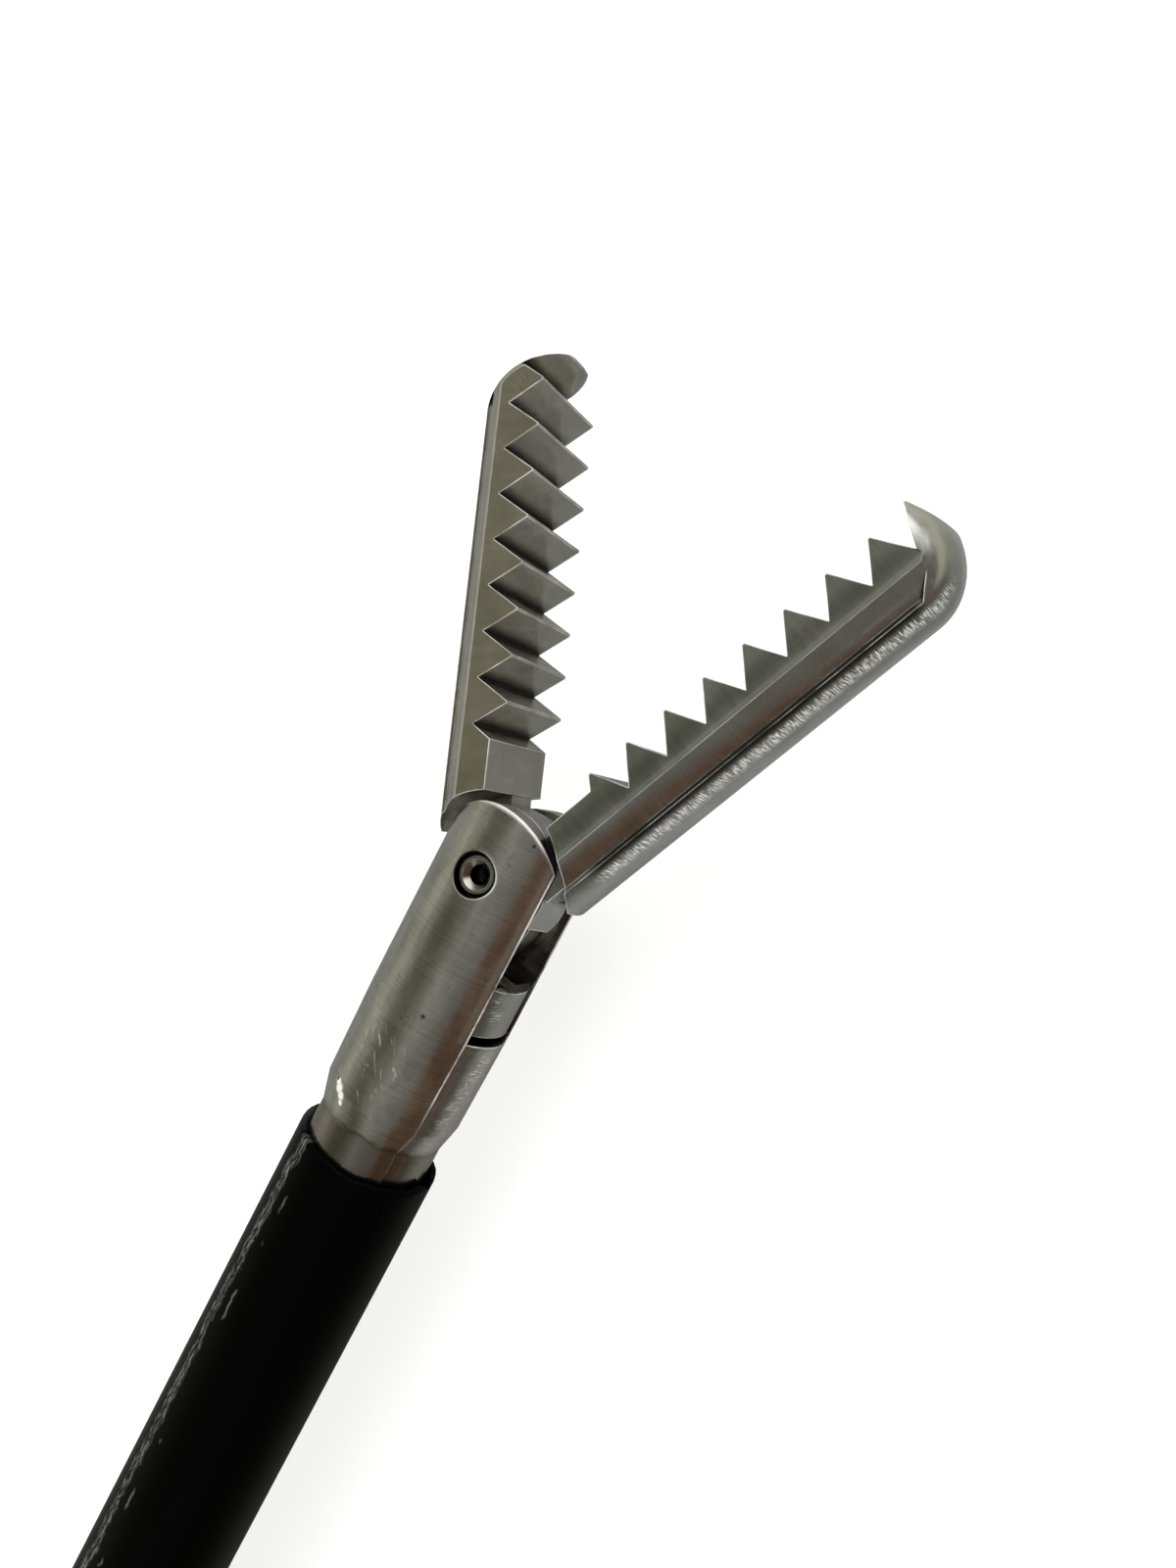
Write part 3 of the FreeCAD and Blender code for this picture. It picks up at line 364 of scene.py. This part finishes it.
# centre in metres; places in millimetres of the whole object, each followed by its size;
# rail is the side that a jaw's back rail is on; band is where the fork's neck meets its cone
steelLooks = {
    "forkSteel": {
        "round": True, "centre": (0.325, 0, 0), "lines": 17.0, "brush": 0.34,
        "dark": (0.44, 0.43, 0.385), "light": (0.70, 0.69, 0.64), "rough": 0.19, "wander": 0.04,
        "depth": 0.0009, "edge": 0.09, "brightEdgeWidth": 0.10, "band": 320.6,
        "calm": [((330.0, 0.0, 2.5), 1.7), ((320.9, -1.3, 2.0), 2.2)],
        # shine and glints are painted highlights
        "shine": [((332.2, -0.6, 2.4), 1.7, 0.26), ((330.1, -1.95, 1.6), 2.4, 0.12)],
        "glints": [((321.72, 1.01, 2.23), 0.16), ((321.58, 0.86, 2.28), 0.22),
                   ((321.42, 0.68, 2.35), 0.2), ((321.2, 0.6, 2.34), 0.13)],
        "pits": [((325.28, -0.67, 2.40), 0.11), ((321.77, 1.11, 2.22), 0.09),
                 ((331.71, -1.26, 2.20), 0.07)],
        "scuffs": [((323.18, 0.12, 2.48), 1.3), ((321.95, -0.18, 2.45), 0.8),
                   ((321.7, -2.36, 0.3), 1.1), ((323.6, -2.45, 0.3), 0.9)],
        "ticks": [((324.4, -2.47, 0.3), 0.5), ((323.8, -2.46, 0.42), 0.5), ((323.2, -2.45, 0.55), 0.5),
                  ((322.6, -2.44, 0.66), 0.45), ((322.1, -2.42, 0.76), 0.4)]},
    "jawRightSteel": {
        "centre": (0.33, 0, 0), "turn": -23.45, "grain": (7.0, 1.2, 1.2),
        "dark": (0.51, 0.52, 0.50), "light": (0.70, 0.71, 0.69), "rough": 0.2, "wander": 0.05,
        "depth": 0.0014, "edge": 0.045, "brightEdgeWidth": 0.065, "rub": 0.3, "rail": -1,
        "foot": 0.9, "lift": 0.26, "footTint": (0.93, 0.95, 0.97), "root": 0.9, "rootShade": 0.55,
        "haze": 1.0, "pits": [((343.37, -7.45, 2.05), 0.13), ((343.19, -7.90, 2.05), 0.2)]},
    # painted light: the same steel as the right jaw, given a paler, warmer tone and a paler flat
    "jawLeftSteel": {
        "centre": (0.33, 0, 0), "turn": 23.45, "grain": (6.0, 1.2, 1.2),
        "dark": (0.56, 0.545, 0.48), "light": (0.75, 0.735, 0.66), "rough": 0.2, "wander": 0.05,
        "depth": 0.0014, "edge": 0.03, "brightEdgeWidth": 0.065, "rub": 0.3, "rail": 1,
        "foot": 0.0, "lift": 0.85, "footTint": (0.98, 0.93, 0.79), "root": 0.0, "rootShade": 0.0,
        "haze": 0.0},
    # the pin's hollows get deeper painted shade, reaching further
    "pinSteel": {
        "centre": (0.33, 0, 0), "grain": (5, 5, 5),
        "dark": (0.55, 0.54, 0.49), "light": (0.72, 0.71, 0.66), "rough": 0.2, "wander": 0.04,
        "depth": 0.001, "edge": 0.03, "brightEdgeWidth": 0.03, "reach": 1.0, "hollows": (0.45, 0.8), "paintedShade": 0.98},
    "sliderSteel": {
        "centre": (0.33, 0, 0), "grain": (8, 1, 8),
        "dark": (0.48, 0.48, 0.45), "light": (0.62, 0.62, 0.59), "rough": 0.28, "wander": 0.04,
        "depth": 0.0015, "edge": 0.03,
        "ticks": [((327.0, -2.22, 1.0), 0.4), ((326.5, -2.26, 0.9), 0.42), ((326.0, -2.3, 0.8), 0.4)]},
    "tubeSteel": {
        "round": True, "centre": (0, 0, 0), "lines": 18.0,
        "dark": (0.50, 0.49, 0.46), "light": (0.64, 0.63, 0.60), "rough": 0.28, "wander": 0.04,
        "depth": 0.0015, "edge": 0.1},
    "leverSteel": {
        "centre": (-0.05, 0, 0), "turn": -60, "grain": (0.5, 3.5, 1.0),
        "dark": (0.52, 0.51, 0.49), "light": (0.66, 0.65, 0.63), "rough": 0.33, "wander": 0.05,
        "depth": 0.003, "edge": 0.4},
    "boltSteel": {
        "centre": (-0.05, 0.0045, 0), "grain": (3, 3, 3),
        "dark": (0.55, 0.54, 0.51), "light": (0.70, 0.69, 0.66), "rough": 0.25, "wander": 0.03,
        "depth": 0.002, "edge": 0.15},
    "plugSteel": {
        "centre": (-0.06, 0, 0), "grain": (0.6, 8, 0.6),
        "dark": (0.58, 0.55, 0.48), "light": (0.76, 0.73, 0.64), "rough": 0.22, "wander": 0.03,
        "depth": 0.0015, "edge": 0.15},
}
plasticLooks = {
    "handlePlastic": {"grain": 4.5, "dark": (0.012, 0.012, 0.013), "light": (0.028, 0.028, 0.03),
                      "rough": 0.5, "depth": 0.02, "edge": 0.5},
    "sealRubber": {"grain": 8.0, "dark": (0.02, 0.02, 0.02), "light": (0.05, 0.05, 0.05),
                   "rough": 0.7, "depth": 0.01, "edge": 0.0},
    "bearingPlastic": {"grain": 6.0, "dark": (0.42, 0.41, 0.37), "light": (0.55, 0.54, 0.49),
                       "rough": 0.45, "depth": 0.006, "edge": 0.2},
}
finishes = {name: brushedSteel(name, look, steelMarks) for name, look in steelLooks.items()}
finishes.update({name: mouldedPlastic(name, look, plasticMarks) for name, look in plasticLooks.items()})
print("finishes ready:", len(finishes))

# which finish each piece of the model wears; the insulation has its own piece below
dress = {
    "forkSteel": ["clevis"],
    "jawRightSteel": ["jaw_right"],
    "jawLeftSteel": ["jaw_left"],
    "pinSteel": ["pivot_pin", "drive_pin", "rod_ball"],
    "sliderSteel": ["slider"],
    "tubeSteel": ["outer_tube", "push_rod", "tube_ferrule", "flush_port"],
    "leverSteel": ["thumb_lever"],
    "boltSteel": ["knob_screw", "lever_bolt", "lever_nut"],
    "plugSteel": ["electrode_plug"],
    "handlePlastic": ["knob", "grip", "thumb_liner"],
    "sealRubber": ["rod_seal"],
    "bearingPlastic": ["front_bearing", "rear_bearing", "plug_bush"],
}
for finish, names in dress.items():
    for name in names:
        cadNodes[name].data.materials.clear()
        cadNodes[name].data.materials.append(finishes[finish])
print("pieces dressed:", sum(len(names) for names in dress.values()))


# insulation sleeve with its torn mouth, in millimetres
sleeveLook = {
    "radius": 2.5, "bore": 2.25, "collar": 2.75, "collarFront": -0.2, "back": -4.0, "mouth": 319.46,
    "sides": 128, "step": 20.0, "fineFrom": 309.0, "fineStep": 0.25, "fineEnd": 0.3,
    "lip": [(0.12, 0.0), (0.03, 0.012), (0.0, 0.06)],  # back from the mouth, down from the radius
    "insideLip": 0.01, "insideBack": 3,
    "tear": 0.08, "swell": 3, "swellAt": 0.3, "ripple": 6, "rippleDepth": 0.07,
    "nicks": [(-2.95, 0.12, 0.18), (0.62, 0.2, 0.10), (1.9, 0.3, 0.06)],  # angle, width, depth
}


def sleeveMouth(look, angle):
    # how far the edge stands back from the mouth at this angle round the shaft
    at = Vector((math.cos(angle) * look["swell"], math.sin(angle) * look["swell"], look["swellAt"]))
    back = look["tear"] * (0.5 + 0.5 * noise.noise(at))
    back += look["rippleDepth"] * abs(noise.noise(at * look["ripple"]))
    for where, width, depth in look["nicks"]:
        off = (angle - where + math.pi) % (2 * math.pi) - math.pi
        back += depth * max(0.0, 1 - abs(off) / width)
    return back


def makeSleeve(look):
    count, mouth = look["sides"], look["mouth"]
    coarse = int(look["fineFrom"] / look["step"]) + 1
    stations = [look["collarFront"] + i * look["step"] for i in range(coarse)]
    x = look["fineFrom"]
    while x < mouth - look["fineEnd"]:
        stations.append(x)
        x += look["fineStep"]
    made = bmesh.new()
    rings = []

    def ring(radius, place):
        # place gives x and the radius at an angle
        turned = []
        for i in range(count):
            angle = 2 * math.pi * i / count
            x, r = place(angle, radius)
            turned.append(made.verts.new(Vector((x, r * math.cos(angle), r * math.sin(angle))) * mm))
        rings.append(turned)

    for x in (look["back"], look["collarFront"]):
        ring(look["collar"], lambda a, r, x=x: (x, r))
    for x in stations:
        ring(look["radius"], lambda a, r, x=x: (x, r))
    for back, drop in look["lip"]:
        ring(look["radius"], lambda a, r, b=back, d=drop: (mouth - b - sleeveMouth(look, a), r - d))
    ring(look["bore"], lambda a, r: (mouth - look["insideLip"] - sleeveMouth(look, a), r))
    ring(look["bore"], lambda a, r: (mouth - look["insideBack"], r))
    ring(look["bore"], lambda a, r: (look["back"], r))
    for a, b in zip(rings, rings[1:] + rings[:1]):
        for i in range(count):
            made.faces.new((a[i], a[(i + 1) % count], b[(i + 1) % count], b[i]))
    bmesh.ops.recalc_face_normals(made, faces=made.faces)
    mesh = bpy.data.meshes.new("insulationSleeve")
    made.to_mesh(mesh)
    made.free()
    for face in mesh.polygons:
        face.use_smooth = True
    piece = bpy.data.objects.new("insulationSleeve", mesh)
    bpy.context.scene.collection.objects.link(piece)
    return piece


# the crease along the insulation: places and widths in degrees round the shaft
creaseLook = {
    "centre": (0.31, 0, 0), "gloss": 0.05, "dark": (0.0004, 0.0004, 0.0005), "scuffAndSheen": (0.19, 0.19, 0.19),
    "rough": 0.42, "rougher": 0.15, "depth": 0.03,
    "grain": (9.0, 24.0), "grainNoise": (1.0, 2.0), "grainHeight": 0.1,
    "angle": 58.0, "waveNoise": (0.16, 1.0), "waver": 4.0, "jagNoise": (1.3, 4.0), "jagged": 3.0,
    "crack": (0.4, 1.1), "ridge": (1.0, 6.5),
    "rag": (2.4, 34.0), "ragNoise": (1.0, 5.0, 1.2), "ragged": (0.44, 0.58, 0.03, 1),
    "second": 73.0, "secondWidth": (0.5, 1.6), "patchNoise": (0.5, 3.0), "patched": (0.54, 0.6, 0, 0.4),
    "sheen": (22.0, 52.0, 0.16, 0.015), "sheenEnd": (58.0, 62.0), "sheenStart": (5.0, 15.0),
}


def insulationScuffsAndSheen(name, look):
    mat, tree, shader = startFinish(name, Specular_IOR_Level=look["gloss"])
    x, y, z = node(tree, "SeparateXYZ", {0: roundPoint(tree, look["centre"])}).outputs
    angle = product(tree, sums(tree, "ARCTAN2", z, y), 180 / math.pi)
    along = node(tree, "CombineXYZ", {0: x}).outputs[0]
    wave = blotches(tree, along, *look["waveNoise"])
    jag = blotches(tree, along, *look["jagNoise"])
    patchy = blotches(tree, along, *look["patchNoise"])
    rag = blotches(tree, roundPoint(tree, look["centre"], *look["rag"]), *look["ragNoise"])
    grain = blotches(tree, roundPoint(tree, look["centre"], *look["grain"]), *look["grainNoise"])
    sway = sums(tree, "ADD", spread(tree, wave, *noiseSpan, -look["waver"], look["waver"]),
                spread(tree, jag, *noiseSpan, -look["jagged"], look["jagged"]))
    crease = distance(tree, angle, sums(tree, "ADD", sway, look["angle"]))
    beside = distance(tree, angle, sums(tree, "ADD", sway, look["second"]))
    crack = fall(tree, crease, look["crack"])
    ridge = product(tree, fall(tree, crease, look["ridge"]), spread(tree, rag, *look["ragged"]))
    faint = product(tree, fall(tree, beside, look["secondWidth"]),
                    spread(tree, patchy, *look["patched"]))
    # painted sheen: a paler band between the side and the crease, a reflection painted into the colour
    sheen = product(tree, spread(tree, angle, *look["sheen"]), fall(tree, angle, look["sheenEnd"]),
                    rise(tree, angle, look["sheenStart"]))
    paleShare = product(tree, largest(tree, ridge, faint, sheen), sums(tree, "SUBTRACT", 1.0, crack))
    tree.links.new(mixed(tree, paleShare, look["dark"], look["scuffAndSheen"]), shader.inputs["Base Color"])
    tree.links.new(spread(tree, paleShare, 0, 1, look["rough"], look["rough"] + look["rougher"]),
                   shader.inputs["Roughness"])
    fine = sums(tree, "ADD", product(tree, grain, look["grainHeight"]), ridge)
    setBump(tree, shader, sums(tree, "SUBTRACT", fine, crack), look["depth"])
    return mat


sleeve = makeSleeve(sleeveLook)
sleeve.data.materials.append(insulationScuffsAndSheen("sleevePlastic", creaseLook))
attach(sleeve, "shaft")
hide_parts("insulation_sleeve")
print("sleeve made")


tableLook = {
    "size": 6.0, "dark": (0.86, 0.86, 0.855), "light": (0.92, 0.92, 0.915), "rough": 0.85,
    "cloudNoise": (0.01, 2.0), "glow": 0.13,
    # what the steel mirrors in it, by y in millimetres up to the shaft, and by x ahead of the tip
    "mirroredFrom": (-60.0, 0.0),
    "mirrored": [(0.2, (0.085, 0.052, 0.034)), (1.0, (0.19, 0.19, 0.185)), (0.43, (0.045, 0.042, 0.034)),
                 (0.60, (0.07, 0.07, 0.055)), (0.76, (0.17, 0.17, 0.155)), (0.87, (0.27, 0.27, 0.26))],
    "ahead": (350.0, 375.0), "mirroredAhead": (0.36, 0.35, 0.28),
}


def makeTable(look):
    floorZ = cadBox[0].z
    half = look["size"] / 2
    corners = [(-half, -half, floorZ), (half, -half, floorZ), (half, half, floorZ), (-half, half, floorZ)]
    mesh = bpy.data.meshes.new("table")
    mesh.from_pydata(corners, [], [(0, 1, 2, 3)])
    piece = bpy.data.objects.new("table", mesh)
    bpy.context.scene.collection.objects.link(piece)
    mat, tree, shader = startFinish("tablePaper", Roughness=look["rough"])
    point = straightPoint(tree)
    paper = mixed(tree, blotches(tree, point, *look["cloudNoise"]), look["dark"], look["light"])
    # steel mirrors a greyer table than the paper that the camera sees, brown towards -Y
    glossy = node(tree, "LightPath").outputs["Is Glossy Ray"]
    x, y, z = node(tree, "SeparateXYZ", {0: point}).outputs
    grey = colourSteps(tree, rise(tree, y, look["mirroredFrom"]), look["mirrored"])
    grey = mixed(tree, rise(tree, x, look["ahead"]), grey, look["mirroredAhead"])
    tree.links.new(mixed(tree, glossy, paper, grey), shader.inputs["Base Color"])
    shader.inputs["Emission Color"].default_value = (*look["light"], 1)
    tree.links.new(spread(tree, glossy, 0, 1, look["glow"], 0), shader.inputs["Emission Strength"])
    mesh.materials.append(mat)


lights = {
    "aheadWindow": {"place": (1.65, 0.15, 1.15), "aim": (0.25, 0, 0), "wide": 1.5, "high": 1.1,
                    "watts": 12, "colour": (1.0, 0.995, 0.98), "mirrored": False},
    "sideStrip": {"place": (0.40, -1.60, 0.55), "aim": (0.25, 0, 0), "wide": 1.6, "high": 0.06,
                  "watts": 0.12, "colour": (1.0, 0.98, 0.95), "mirrored": True},
}


def makeLight(name, look):
    lamp = bpy.data.lights.new(name, "AREA")
    lamp.shape = "RECTANGLE"
    lamp.size = look["wide"]
    lamp.size_y = look["high"]
    lamp.energy = look["watts"]
    lamp.color = look["colour"]
    obj = bpy.data.objects.new(name, lamp)
    bpy.context.scene.collection.objects.link(obj)
    obj.visible_glossy = look["mirrored"]
    obj.location = look["place"]
    obj.rotation_mode = "QUATERNION"
    obj.rotation_quaternion = (Vector(look["aim"]) - Vector(look["place"])).to_track_quat("-Z", "Y")


roomLook = {
    "paper": (1.25, 1.25, 1.24), "ahead": (1.5, 1.48, 1.42), "aheadX": (0.60, 0.80), "aheadZ": (0.05, 0.25),
    # what the steel mirrors, from the wall at +Y over the ceiling to the wall at -Y
    "walls": [(0.0, (0.30, 0.30, 0.26)), (0.995, (0.10, 0.058, 0.034)), (0.11, (0.43, 0.42, 0.37)),
              (0.19, (0.28, 0.27, 0.22)), (0.285, (0.118, 0.118, 0.095)), (0.36, (0.098, 0.098, 0.065)),
              (0.44, (0.16, 0.16, 0.125)), (0.52, (0.285, 0.285, 0.265)), (0.60, (0.215, 0.215, 0.205)),
              (0.72, (0.165, 0.16, 0.145)), (0.785, (0.110, 0.060, 0.035))],
}


def makeRoom(look):
    world = bpy.data.worlds.new("room")
    bpy.context.scene.world = world
    world.use_nodes = True
    tree = world.node_tree
    x, y, z = node(tree, "SeparateXYZ", {0: node(tree, "TexCoord").outputs["Generated"]}).outputs
    turn = sums(tree, "ARCTAN2", z, y)
    walls = colourSteps(tree, sums(tree, "DIVIDE", turn, math.pi), look["walls"])
    ahead = product(tree, rise(tree, x, look["aheadX"]), rise(tree, z, look["aheadZ"]))
    walls = mixed(tree, ahead, walls, look["ahead"])
    # steel mirrors the dim room, and the pale paper all round lights the rest
    glossy = node(tree, "LightPath").outputs["Is Glossy Ray"]
    tree.links.new(mixed(tree, glossy, look["paper"], walls), tree.nodes["Background"].inputs["Color"])


# focal and high are in pixels of the upright frame
cameraLook = {
    "place": (0.338043, -0.014773, 0.032357), "forward": (-0.11569, 0.39049, -0.91331),
    "up": (0.87973, 0.46720, 0.08832), "focal": 1118.05, "high": 1600.0, "sensor": 36.0,
    "near": 0.002, "far": 20.0,
}


def makeCamera(look):
    cam = bpy.data.cameras.new("camera")
    cam.sensor_fit = "AUTO"
    cam.sensor_width = look["sensor"]
    cam.lens = look["focal"] * look["sensor"] / look["high"]
    cam.clip_start = look["near"]
    cam.clip_end = look["far"]
    obj = bpy.data.objects.new("camera", cam)
    bpy.context.scene.collection.objects.link(obj)
    back = -Vector(look["forward"]).normalized()
    right = Vector(look["up"]).cross(back).normalized()
    facing = Matrix((right, back.cross(right), back)).transposed().to_4x4()
    obj.matrix_world = Matrix.Translation(look["place"]) @ facing
    bpy.context.scene.camera = obj


makeTable(tableLook)
for name, look in lights.items():
    makeLight(name, look)
makeRoom(roomLook)
makeCamera(cameraLook)
bpy.context.scene.view_settings.view_transform = "Standard"
print("table, lights and camera ready")
